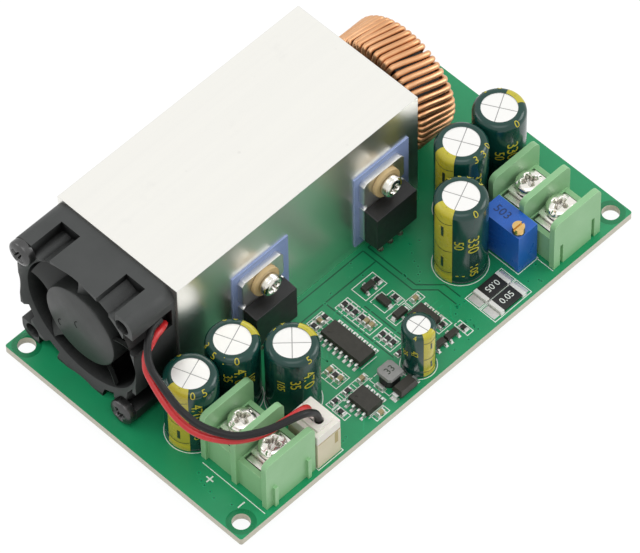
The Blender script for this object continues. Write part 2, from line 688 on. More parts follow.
def finishes() -> list[Finish]:
    """Every finish of the module, in a maker's words."""
    return [
        MaskFinish("Green solder mask", (0.012, 0.29, 0.115), (0.008, 0.23, 0.09), scale=110, roughness=0.34,
                   spread=0.1, depth=0.1, grain=2500, specks=0.4, speck=(0.06, 0.4, 0.2), speck_scale=500),
        Finish("Mask over copper", (0.012, 0.34, 0.14), (0.008, 0.25, 0.1), scale=200, roughness=0.28,
            depth=0.1,
               grain=2500),
        Finish("Mask in a gap", (0.002, 0.1, 0.045), (0.002, 0.075, 0.03), roughness=0.4, depth=0.05),
        Finish("Mask round a hole", (0.004, 0.19, 0.07), (0.003, 0.15, 0.055), scale=200, roughness=0.3,
            depth=0.08,
               grain=2500),
        Finish("White board print", (0.8, 0.84, 0.79), (0.62, 0.68, 0.6), scale=900, roughness=0.6, depth=0.3,
               grain=6000),
        Finish("Tinned pad", (0.82, 0.81, 0.78), (0.6, 0.6, 0.57), scale=900, roughness=0.48, metallic=0.85,
               depth=0.4, grain=2500, coarse=1),
        Finish("Soft solder", (0.86, 0.86, 0.84), (0.62, 0.62, 0.6), scale=700, roughness=0.34, metallic=0.95,
               depth=0.4, grain=1500, coarse=1.2),
        Finish("Groove in the can", (0.42, 0.42, 0.41), (0.3, 0.3, 0.3), scale=700, roughness=0.4,
            metallic=0.9,
               depth=0.3),
        SinkFinish("Mill finish aluminium", (0.915, 0.905, 0.855), (0.895, 0.885, 0.832), scale=40,
            roughness=0.3,
                   spread=0.05, metallic=1, depth=0.02, grain=900, stretch=(0.2, 1, 1), specks=0.35,
                   speck=(0.66, 0.65, 0.61), speck_scale=210, edge=(0.5, 0.5, 0.48), edge_amount=0.6,
                   edge_radius=0.22),
        Finish("Zinc plate", (0.78, 0.76, 0.7), (0.68, 0.66, 0.6), scale=200, roughness=0.2, spread=0.06,
               metallic=1, depth=0.02, grain=900, edge=(0.95, 0.94, 0.9), edge_amount=0.4, recess=0.85),
        Finish("Nickel plate", (0.9, 0.87, 0.81), (0.82, 0.79, 0.72), scale=200, roughness=0.24, spread=0.06,
               metallic=1, depth=0.02, grain=900, edge=(1, 0.98, 0.94), edge_amount=0.4, recess=0.8,
               recess_reach=0.0013),
        Finish("Black fan plastic", (0.062, 0.065, 0.064), (0.048, 0.051, 0.05), scale=160, roughness=0.46,
               spread=0.12, depth=0.14, grain=3600, edge=(0.08, 0.083, 0.08), edge_amount=0.6,
               edge_radius=0.2,
               specks=0.35, speck=(0.1, 0.1, 0.1), speck_scale=420, specular=0.25, recess=0.95,
               recess_reach=0.014),
        Finish("Rotor plastic", (0.024, 0.0265, 0.025), (0.019, 0.021, 0.02), scale=160, roughness=0.4,
               spread=0.1, depth=0.12, grain=3600, specular=0.42, recess=0.35, recess_reach=0.006),
        Finish("Moulding mark", (0.004, 0.004, 0.004), (0.006, 0.006, 0.006), roughness=0.6, specular=0.1),
        Finish("Ground steel", (0.56, 0.57, 0.58), (0.4, 0.41, 0.42), roughness=0.3, metallic=1, depth=0.1),
        Finish("Sintered bronze", (0.5, 0.33, 0.14), (0.36, 0.22, 0.09), roughness=0.5, metallic=1,
            depth=0.4),
        Finish("Stacked laminations", (0.28, 0.28, 0.3), (0.18, 0.18, 0.19), roughness=0.45, metallic=0.9,
               depth=0.4, stretch=(8, 1, 1)),
        Finish("Bonded magnet", (0.03, 0.03, 0.032), (0.02, 0.02, 0.02), roughness=0.7, depth=0.4),
        Finish("Blackened screw", (0.1, 0.1, 0.1), (0.05, 0.05, 0.05), roughness=0.28, metallic=0.9,
               depth=0.1, edge=(0.4, 0.4, 0.4), edge_amount=0.4, edge_radius=0.1),
        Finish("Moulded epoxy", (0.012, 0.0125, 0.013), (0.018, 0.019, 0.02), scale=500, roughness=0.4,
               spread=0.14, depth=0.22, grain=5000, edge=(0.06, 0.06, 0.064), edge_amount=0.5),
        Finish("Small epoxy body", (0.03, 0.028, 0.021), (0.022, 0.021, 0.016), scale=900, roughness=0.46,
               depth=0.3, grain=7000, edge=(0.1, 0.097, 0.08), edge_amount=0.5, edge_radius=0.08),
        Finish("Tinned copper", (0.84, 0.84, 0.82), (0.66, 0.66, 0.64), scale=400, roughness=0.34, metallic=1,
               depth=0.12, grain=2600, edge=(0.95, 0.95, 0.94), edge_amount=0.4),
        Finish("Silicone pad", (0.2, 0.27, 0.48), (0.25, 0.32, 0.53), scale=250, roughness=0.5, depth=0.25,
               grain=5000, edge=(0.5, 0.58, 0.82), edge_amount=0.6),
        Finish("Fibre bush", (0.56, 0.41, 0.2), (0.45, 0.32, 0.15), scale=400, roughness=0.42, depth=0.15),
        Finish("Coated ferrite", (0.014, 0.016, 0.015), (0.022, 0.024, 0.022), scale=300, roughness=0.5,
            depth=0.4,
               grain=2500, coarse=0.6),
        Finish("Ground ferrite", (0.3, 0.3, 0.29), (0.23, 0.23, 0.22), scale=900, roughness=0.5, depth=0.2,
               grain=6000, edge=(0.42, 0.42, 0.41), edge_amount=0.4, edge_radius=0.1),
        WireFinish("Enamelled copper", (0.8, 0.46, 0.25), (0.7, 0.38, 0.19), scale=260, roughness=0.38,
                   spread=0.08, metallic=0.9, depth=0.02, grain=900, coat=0.15, coat_roughness=0.2),
        Finish("Capacitor can", (0.97, 0.965, 0.94), (0.92, 0.91, 0.885), scale=140, roughness=0.36,
            metallic=1,
               depth=0.06, grain=3000, stretch=(1, 0.2, 1)),
        Finish("Dark green sleeve", (0.004, 0.047, 0.036), (0.003, 0.034, 0.027), scale=90, roughness=0.18,
               spread=0.08, depth=0.06, grain=900, coarse=1),
        Finish("Yellow sleeve print", (0.52, 0.46, 0.035), (0.44, 0.38, 0.028), scale=300, roughness=0.24,
               depth=0.06, grain=900, coarse=1),
        Finish("Dark sleeve mark", (0.02, 0.035, 0.02), (0.03, 0.045, 0.022), scale=400, roughness=0.26,
            depth=0.06),
        Finish("Rubber bung", (0.02, 0.02, 0.02), (0.03, 0.03, 0.03), roughness=0.7, depth=0.4),
        Finish("Green terminal plastic", (0.27, 0.51, 0.26), (0.235, 0.455, 0.225), scale=140, roughness=0.42,
               spread=0.1, depth=0.12, grain=4200, edge=(0.36, 0.66, 0.34), edge_amount=0.8,
               edge_radius=0.25),
        Finish("Blue moulded case", (0.016, 0.12, 0.52), (0.012, 0.1, 0.45), scale=200, roughness=0.3,
               depth=0.14, grain=3600, edge=(0.1, 0.27, 0.7), edge_amount=0.6),
        Finish("Dark case print", (0.01, 0.03, 0.12), (0.015, 0.04, 0.15), scale=900, roughness=0.5,
            depth=0.1),
        Finish("Turned brass", (0.78, 0.52, 0.2), (0.62, 0.4, 0.14), scale=600, roughness=0.26, metallic=1,
               depth=0.12, grain=2500, edge=(0.95, 0.74, 0.4), edge_amount=0.6),
        Finish("Glazed thick film", (0.014, 0.014, 0.013), (0.02, 0.02, 0.019), roughness=0.34, depth=0.2,
               edge=(0.08, 0.08, 0.08), edge_amount=0.4, edge_radius=0.08),
        Finish("Silver end", (0.8, 0.8, 0.76), (0.7, 0.7, 0.66), scale=900, roughness=0.5, metallic=0.25,
               depth=0.3, grain=2500),
        Finish("Chip ceramic", (0.38, 0.31, 0.16), (0.3, 0.24, 0.12), scale=900, roughness=0.55, depth=0.3,
               edge=(0.6, 0.47, 0.3), edge_amount=0.4, edge_radius=0.06),
        Finish("Ivory housing", (0.66, 0.6, 0.43), (0.58, 0.52, 0.36), scale=200, roughness=0.42, depth=0.1,
               edge=(0.8, 0.76, 0.6), edge_amount=0.5, through=0.1),
        Finish("Housing slot", (0.42, 0.34, 0.15), (0.34, 0.27, 0.11), scale=300, roughness=0.5, depth=0.1),
        Finish("White housing", (0.8, 0.77, 0.7), (0.72, 0.69, 0.62), scale=200, roughness=0.4, depth=0.1,
               edge=(0.9, 0.88, 0.82), edge_amount=0.5, through=0.1),
        Finish("Red insulation", (0.58, 0.024, 0.026), (0.47, 0.016, 0.018), scale=300, roughness=0.32,
               depth=0.06, grain=2000),
        Finish("Black insulation", (0.009, 0.009, 0.0095), (0.013, 0.013, 0.013), scale=300, roughness=0.4,
               depth=0.06, grain=2000, specular=0.3),
    ]


NODE_FINISH: dict[str, str] = {
    "circuit_board": "Green solder mask", "solder_joints": "Soft solder",
    "heat_sink": "Mill finish aluminium",
    "heat_sink_screws": "Zinc plate", "fan_frame": "Black fan plastic", "fan_impeller": "Rotor plastic",
    "fan_shaft": "Ground steel", "fan_bearing": "Sintered bronze", "fan_stator": "Stacked laminations",
    "fan_magnet": "Bonded magnet", "fan_screws": "Blackened screw", "transistor_case_in": "Moulded epoxy",
    "transistor_case_out": "Moulded epoxy", "transistor_tab_in": "Tinned copper",
    "transistor_tab_out": "Tinned copper", "insulating_pads": "Silicone pad",
    "insulating_bushes": "Fibre bush",
    "transistor_screws": "Zinc plate", "choke_core": "Coated ferrite", "choke_winding": "Enamelled copper",
    "capacitor_bungs": "Rubber bung", "capacitor_leads": "Tinned copper",
    "input_block": "Green terminal plastic",
    "output_block": "Green terminal plastic", "input_contacts": "Nickel plate",
    "output_contacts": "Nickel plate",
    "input_screw_front": "Nickel plate", "input_screw_back": "Nickel plate",
    "output_screw_front": "Nickel plate",
    "output_screw_back": "Nickel plate", "trimmer_case": "Blue moulded case", "trimmer_screw": "Turned brass",
    "trimmer_pins": "Tinned copper", "shunt_resistors": "Glazed thick film", "ic_bodies": "Small epoxy body",
    "power_inductor": "Coated ferrite", "small_semiconductors": "Small epoxy body",
    "smd_leads": "Tinned copper",
    "chip_resistors": "Glazed thick film", "chip_capacitors": "Chip ceramic", "chip_ends": "Soft solder",
    "fan_header": "Ivory housing", "fan_header_pins": "Tinned copper", "fan_plug": "White housing",
    "fan_wire_red": "Red insulation", "fan_wire_black": "Black insulation",
    **{f"capacitor_can_{k}": "Capacitor can" for k in "abcdefg"},
    **{f"capacitor_sleeve_{k}": "Dark green sleeve" for k in "abcdefg"},
}

NODE_ROUNDING: dict[str, float] = {
    "circuit_board": 0.12, "heat_sink": 0.2, "fan_frame": 0.22, "fan_impeller": 0.12,
    "transistor_case_in": 0.2,
    "transistor_case_out": 0.2, "transistor_tab_in": 0.12, "transistor_tab_out": 0.12,
    "insulating_bushes": 0.15,
    "input_block": 0.2, "output_block": 0.2, "input_contacts": 0.12, "output_contacts": 0.12,
    "trimmer_case": 0.25, "trimmer_screw": 0.1, "fan_header": 0.12, "fan_plug": 0.15, "power_inductor": 0.12,
    "ic_bodies": 0.06, "small_semiconductors": 0.06, "chip_ends": 0.08, "chip_resistors": 0.04,
    "chip_capacitors": 0.06, "shunt_resistors": 0.06, "fan_screws": 0.1,
}


class Paint:
    """The finished materials, found by name."""

    def __init__(self) -> None:
        """Makes every finish once."""
        effects = Effects()
        self.made = {f.name: f.make(effects) for f in finishes()}

    def __getitem__(self, name: str) -> bpy.types.Material:
        """The material of that name."""
        return self.made[name]

    def dress_nodes(self) -> None:
        """Gives each CAD node its finish, and rounds the edges that show."""
        for name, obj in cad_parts.items():
            material = self.made[NODE_FINISH[name]]
            if not obj.data.materials:
                obj.data.materials.append(material)
            for i in range(len(obj.data.materials)):
                obj.data.materials[i] = material
            if name in NODE_ROUNDING:
                round_edges(obj, NODE_ROUNDING[name])
        LOG.info("%d CAD nodes dressed", len(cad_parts))


# ---------------------------------------------------------------- studio


@dataclass
class Studio:
    """Floor, world, soft lamps and the camera."""

    floor_z: float = -2.4
    azimuth: float = -44.251
    elevation: float = 53.674
    roll: float = -1.203
    distance: float = 1100.506
    target: tuple[float, float, float] = (0.195, 0.414, 1.6)
    lens: float = 343.893
    sensor: float = 36.0
    sky: tuple[float, float] = (0.58, 0.95)
    floor_glow: float = 0.85
    floor_white: float = 1.1
    lamps: tuple = (
        ("right_softbox", (0.9, -0.55, 0.6), 0.6, 4.0),
        ("high_softbox", (-0.25, -0.3, 1.1), 0.7, 2.0),
        ("back_softbox", (-0.5, 0.85, 0.7), 0.6, 2.0),
    )

    def build(self) -> None:
        """Makes everything that isn't part of the module."""
        self._camera()
        self._world()
        self._floor()
        self._lamps()
        bpy.context.scene.view_settings.view_transform = "Standard"
        LOG.info("studio ready")

    def _camera(self) -> None:
        """Sets the camera at the product view's angle."""
        az, el, roll = (math.radians(a) for a in (self.azimuth, self.elevation, self.roll))
        back = Vector((math.sin(az) * math.cos(el), -math.cos(az) * math.cos(el), math.sin(el)))
        flat = Vector((math.cos(az), math.sin(az), 0))
        tall = back.cross(flat)
        right = flat * math.cos(roll) + tall * math.sin(roll)
        up = tall * math.cos(roll) - flat * math.sin(roll)
        where = (Vector(self.target) + back * self.distance) * MM
        data = bpy.data.cameras.new("camera")
        data.lens, data.sensor_width = self.lens, self.sensor
        data.clip_start, data.clip_end = 0.05, 10
        camera = bpy.data.objects.new("camera", data)
        camera.matrix_world = Matrix((
            (right.x, up.x, back.x, where.x), (right.y, up.y, back.y, where.y),
            (right.z, up.z, back.z, where.z), (0, 0, 0, 1)))
        bpy.context.scene.collection.objects.link(camera)
        bpy.context.scene.camera = camera

    def _world(self) -> None:
        """A pale room: white where it is seen or mirrored, and softly graded where it only lights."""
        world = bpy.data.worlds.new("room")
        world.use_nodes = True
        bpy.context.scene.world = world
        s = Sketch(world.node_tree)
        world.node_tree.nodes.clear()
        where = s.node("ShaderNodeTexCoord").outputs["Generated"]
        height = s.node("ShaderNodeSeparateXYZ", {0: where}).outputs[2]
        rising = s.between(height, 0.0, 0.9, *self.sky)
        light = s.node("ShaderNodeBackground", {"Color": (1, 1, 1, 1), "Strength": rising})
        white = s.node("ShaderNodeBackground", {"Color": (1, 1, 1, 1), "Strength": 1.0})
        both = s.node("ShaderNodeMixShader", {0: self._seen(s), 1: light.outputs[0], 2: white.outputs[0]})
        s.node("ShaderNodeOutputWorld", {0: both.outputs[0]})

    @staticmethod
    def _seen(s: Sketch) -> bpy.types.NodeSocket:
        """1 where the camera sees a surface straight, mirrored or through glass."""
        path = s.node("ShaderNodeLightPath")
        seen = s.sum("MAXIMUM", path.outputs["Is Camera Ray"], path.outputs["Is Glossy Ray"])
        return s.sum("MAXIMUM", seen, path.outputs["Is Transmission Ray"])

    def _floor(self) -> None:
        """A white table under the module, which keeps its soft shadow."""
        form = Form().block((-2500, -2500, self.floor_z - 1), (2500, 2500, self.floor_z))
        material = bpy.data.materials.new("White table")
        material.use_nodes = True
        s = Sketch(material.node_tree)
        material.node_tree.nodes.clear()
        matt = s.node("ShaderNodeBsdfDiffuse", {"Color": (0.62, 0.62, 0.62, 1)})
        glow = s.node("ShaderNodeEmission", {"Color": (1, 1, 1, 1), "Strength": self.floor_white})
        share = s.sum("MULTIPLY", self._seen(s), self.floor_glow)
        both = s.node("ShaderNodeMixShader", {0: share, 1: matt.outputs[0], 2: glow.outputs[0]})
        s.node("ShaderNodeOutputMaterial", {0: both.outputs[0]})
        mesh = bpy.data.meshes.new("floor")
        mesh.from_pydata([p * MM for p in form.points], [], form.faces)
        mesh.materials.append(material)
        floor = bpy.data.objects.new("floor", mesh)
        bpy.context.scene.collection.objects.link(floor)

    def _lamps(self) -> None:
        """Three soft lamps: the main one from the right, and weaker ones from above and behind."""
        for name, place, size, power in self.lamps:
            data = bpy.data.lights.new(name, "AREA")
            data.shape, data.size, data.energy = "SQUARE", size, power
            lamp = bpy.data.objects.new(name, data)
            lamp.location = place
            lamp.rotation_mode = "QUATERNION"
            lamp.rotation_quaternion = (Vector(place)).to_track_quat("Z", "Y")
            bpy.context.scene.collection.objects.link(lamp)


# ---------------------------------------------------------------- board


@dataclass
class BoardPrint:
    """White print, copper relief, vias, pads and solder on the board's top."""

    paint: Paint
    ink: float = 0.02
    line: float = 0.16
    pad_rise: float = 0.035
    pad_margin: float = 0.32
    gap_w: float = 0.28
    seed: int = 7
    boxes: tuple = (
        (-8.9, -8.3, -5.1, -5.3), (-2.9, -10.7, 0.33, -6.45), (-2.9, -15.1, 0.33, -10.8),
        (-2.9, -20.3, 0.33, -16.0),
        (-15.4, -19.1, -12.0, -14.9), (-19.1, -21.7, -9.5, -20.2), (-19.2, -25.0, -17.7, -21.9),
        (-15.3, -29.2, -12.1, -27.5), (2.1, -9.3, 7.5, -5.7), (5.5, -14.2, 7.1, -11.1),
        (6.8, -16.3, 10.1, -14.5),
        (6.0, -23.8, 9.3, -22.1), (9.3, -27.7, 10.8, -24.4), (-9.9, -26.9, -4.7, -22.0),
        (14.9, -25.2, 24.3, -21.7), (14.9, -29.2, 24.3, -25.45), (2.5, -13.6, 5.5, -10.0),
        (1.9, -17.0, 6.5, -14.6),
    )
    dividers: tuple = (
        ((-7.7, -8.3), (-7.7, -5.3)), ((-6.3, -8.3), (-6.3, -5.3)), ((-2.9, -7.85), (0.33, -7.85)),
        ((-2.9, -9.15), (0.33, -9.15)), ((-2.9, -12.1), (0.33, -12.1)), ((-2.9, -13.35), (0.33, -13.35)),
        ((-2.9, -17.35), (0.33, -17.35)), ((-2.9, -18.65), (0.33, -18.65)), ((-15.4, -16.2), (-12.0, -16.2)),
        ((-15.4, -17.55), (-12.0, -17.55)), ((-16, -21.7), (-16, -20.2)), ((-12.7, -21.7), (-12.7, -20.2)),
        ((-43.1, -13.4), (-43.1, -29.0)), ((30.35, -24.2), (30.35, -28.8)),
    )
    gaps: tuple = (
        ((9.7, -1.2), (9.7, -13.6)), ((10.9, -1.2), (10.9, -13.2)), ((-10.2, -4.4), (9.5, -4.4)),
        ((-20.0, -1.1), (9.7, -1.1)), ((10.9, -1.2), (14.2, -1.2)),
        ((10.9, -13.2), (14.6, -17.0), (14.6, -20.8)),
        ((9.7, -13.6), (12.9, -16.9), (12.9, -21.4)), ((-24.5, -11.5), (-24.5, -20.5)),
        ((26.2, -13.2), (26.2, -14.4)),
        ((-10.2, -4.4), (-11.2, -5.4), (-11.2, -8.6)), ((-3.4, -4.4), (-3.4, -21.6)),
        ((1.1, -9.8), (1.1, -21.8)),
    )
    traces: tuple = (
        ((-2.0, -7.2), (-3.9, -7.2), (-5.2, -8.5)), ((-2.0, -8.5), (-3.6, -8.5), (-4.6, -9.5)),
        ((-0.4, -9.8), (1.6, -9.8), (3.2, -11.2)), ((-0.4, -11.5), (1.9, -11.5)),
        ((-2.0, -12.7), (-4.1, -12.7)),
        ((-2.0, -14.0), (-4.1, -14.0)), ((-2.0, -16.7), (-4.0, -16.7)), ((-0.4, -18.0), (3.4, -18.0)),
        ((-10.6, -10.8), (-12.2, -12.4), (-12.2, -14.6)), ((-10.6, -12.1), (-13.1, -14.6)),
        ((-10.6, -13.4), (-11.6, -14.4)), ((-14.0, -22.2), (-14.0, -21.5)), ((-10.0, -21.0), (-8.9, -22.1)),
        ((8.9, -18.5), (11.3, -18.5)), ((8.9, -19.8), (11.0, -19.8)),
        ((6.9, -22.9), (5.2, -22.9), (4.2, -23.9)),
        ((-16.3, -26.9), (-18.6, -29.0)), ((-11.5, -24.4), (-10.2, -24.4)),
        ((10.0, -25.2), (10.0, -22.9), (12.1, -20.8)),
    )

    def build(self) -> None:
        """Makes each layer as one piece."""
        self.top = box_of("circuit_board")[1].z
        self.parts = [b for n in ("chip_ends", "smd_leads") for b in islands(n)]
        self._silk()
        self._relief()
        self._vias()
        self._pads()
        self._rings()

    def _arc(self, form: Form, centre: Vector, radius: float, width: float,
        span: tuple[float, float] = (0, 360)) -> None:
        """Adds a printed ring or part of one to a form."""
        z0, z1 = self.top + 0.001, self.top + self.ink
        profile = [(radius - width / 2, z0), (radius + width / 2, z0), (radius + width / 2, z1),
            (radius - width / 2, z1), (radius - width / 2, z0)]
        form.lathe(profile, 64, move(centre.x, centre.y), span)

    def _silk(self) -> None:
        """The white outlines round the parts, and the polarity signs."""
        form = Form()
        z = self.top + 0.001
        for x0, y0, x1, y1 in self.boxes:
            form.frame_line((x0, y0), (x1, y1), self.line, z, self.ink)
        for line in self.dividers:
            form.stroke(line, self.line, z, self.ink)
        for key in "abcdefg":
            low, high = box_of(f"capacitor_sleeve_{key}")
            middle, radius = (low + high) / 2, (high.x - low.x) / 2 + 0.22
            self._arc(form, middle, radius, self.line)
        for low, high in islands("ic_bodies"):
            form.stroke([(low.x, high.y + 0.35), (high.x, high.y + 0.35)], self.line, z, self.ink)
            form.stroke([(low.x, low.y - 0.35), (high.x, low.y - 0.35)], self.line, z, self.ink)
            self._arc(form, Vector((low.x - 0.1, high.y + 0.75, 0)), 0.16, 0.3)
        low, high = box_of("trimmer_case")
        form.frame_line((low.x - 0.25, low.y - 0.25), (high.x + 0.1, high.y + 0.25), self.line, z, self.ink)
        low, high = box_of("fan_header")
        form.frame_line((low.x - 0.1, low.y - 0.25), (high.x + 0.25, high.y + 0.25), self.line, z, self.ink)
        for node, side in (("input_block", -1), ("output_block", 1)):
            low, high = box_of(node)
            edge = low.x - 2.4 if side < 0 else high.x + 2.4
            for y, sign in ((low.y + 4.6, "-"), (high.y - 4.6, "+")):
                form.block((-0.85, -0.13, 0), (0.85, 0.13, self.ink), move(edge, y, z))
                if sign == "+":
                    form.block((-0.13, 0.13, 0), (0.13, 0.85, self.ink), move(edge, y, z))
                    form.block((-0.13, -0.85, 0), (0.13, -0.13, self.ink), move(edge, y, z))
        form.piece("board_print", self.paint["White board print"])

    def _relief(self) -> None:
        """Dark lines where the copper is cut back, and thin raised tracks."""
        cut, track = Form(), Form()
        for line in self.gaps:
            cut.stroke(line, self.gap_w, self.top, 0.006)
        for line in self.traces:
            track.stroke(line, 0.26, self.top, 0.03)
        cut.piece("board_copper_gaps", self.paint["Mask in a gap"])
        track.piece("board_tracks", self.paint["Mask over copper"])

    def _vias(self) -> None:
        """Small plated holes, scattered where no part stands."""
        rng = random.Random(self.seed)
        ring, hole = Form(), Form()
        taken = []
        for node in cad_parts:
            low, high = box_of(node)
            if node.startswith(("capacitor_sleeve", "input_block", "output_block", "trimmer_case",
                "fan_header", "heat_sink", "fan_frame", "transistor_case")):
                taken.append((low, high))
        for node in ("ic_bodies", "small_semiconductors", "chip_ends", "shunt_resistors", "power_inductor",
            "smd_leads"):
            taken += islands(node)
        zones = ((-22, -12, -20, -5, 10), (1, 9, -29, -17, 9), (10.5, 20, -20, -6, 20),
            (11, 15, -29, -21, 12),
                 (-47, -45, -29, -8, 6), (44, 48, -26, -2, 8), (-24, -20, -29, -20, 6),
                 (-10, 9, -5.6, -1.5, 6),
                 (24, 30, -29, -24, 5), (-34, -24, -4, -1, 3))
        for x0, x1, y0, y1, count in zones:
            for _ in range(count):
                x, y = rng.uniform(x0, x1), rng.uniform(y0, y1)
                if any(a.x - 0.6 < x < b.x + 0.6 and a.y - 0.6 < y < b.y + 0.6 and a.z < self.top + 3 for a,
                    b in taken):
                    continue
                z = self.top
                ring.lathe([(0.16, z), (0.38, z), (0.36, z + 0.02), (0.16, z + 0.02)], 16, move(x, y))
                hole.lathe([(0.17, z), (0.17, z + 0.012), (0, z + 0.012)], 16, move(x, y))
        ring.piece("board_via_rings", self.paint["Mask over copper"])
        hole.piece("board_via_holes", self.paint["Mask in a gap"])

    def _pads(self) -> None:
        """Tinned pads under the small parts, with solder drawn up each end."""
        pads, solder = Form(), Form()
        m, z = self.pad_margin, self.top
        for low, high in islands("chip_ends"):
            if low.z > z + 0.2:
                continue
            pads.block((low.x - m * 0.7, low.y - m * 0.7, z),
                (high.x + m * 0.7, high.y + m * 0.7, z + self.pad_rise))
            side = Vector(((low.x + high.x) / 2, (low.y + high.y) / 2, 0))
            rise = (high.z - z) * 0.55
            for sx, sy in ((1, 0), (-1, 0), (0, 1), (0, -1)):
                run = m * 0.6
                a = Vector((side.x + sx * (high.x - low.x) / 2, side.y + sy * (high.y - low.y) / 2, 0))
                half = ((high.y - low.y) if sx else (high.x - low.x)) / 2 * 0.9
                across = Vector((-sy, sx, 0))
                out = Vector((sx, sy, 0))
                base = z + self.pad_rise
                ring = [a + across * half, a - across * half]
                points = [(*(ring[0].xy), base), (*(ring[1].xy), base), (*((ring[1] + out * run).xy), base),
                          (*((ring[0] + out * run).xy), base), (*(ring[0].xy), base + rise),
                          (*(ring[1].xy), base + rise)]
                solder.add(points, [(0, 1, 2, 3), (3, 2, 5, 4), (0, 4, 5, 1), (0, 3, 4), (1, 5, 2)])
        for low, high in islands("smd_leads"):
            pads.block((low.x - m * 0.4, low.y - m * 0.3, z),
                (high.x + m * 0.4, high.y + m * 0.3, z + self.pad_rise * 0.8))
        for low, high in islands("shunt_resistors"):
            pads.block((low.x - 2.4, low.y + 0.1, z), (low.x - 0.2, high.y - 0.1, z + self.pad_rise))
            pads.block((high.x + 0.2, low.y + 0.1, z), (high.x + 1.6, high.y - 0.1, z + self.pad_rise))
        pads.piece("board_pads", self.paint["Tinned pad"], slot="solder")
        solder.piece("board_solder", self.paint["Soft solder"], slot="solder", bevel=0.03)

    def _rings(self) -> None:
        """The darker clearance round each mounting hole."""
        form = Form()
        low, high = box_of("circuit_board")
        inset, radius = 2.8, 1.72
        for x in (low.x + inset, high.x - inset):
            for y in (low.y + inset, high.y - inset):
                z = self.top
                form.lathe([(radius, z), (2.75, z), (2.72, z + 0.012), (radius, z + 0.012)], 48, move(x, y))
        form.piece("board_hole_rings", self.paint["Mask round a hole"])


# ---------------------------------------------------------------- capacitors


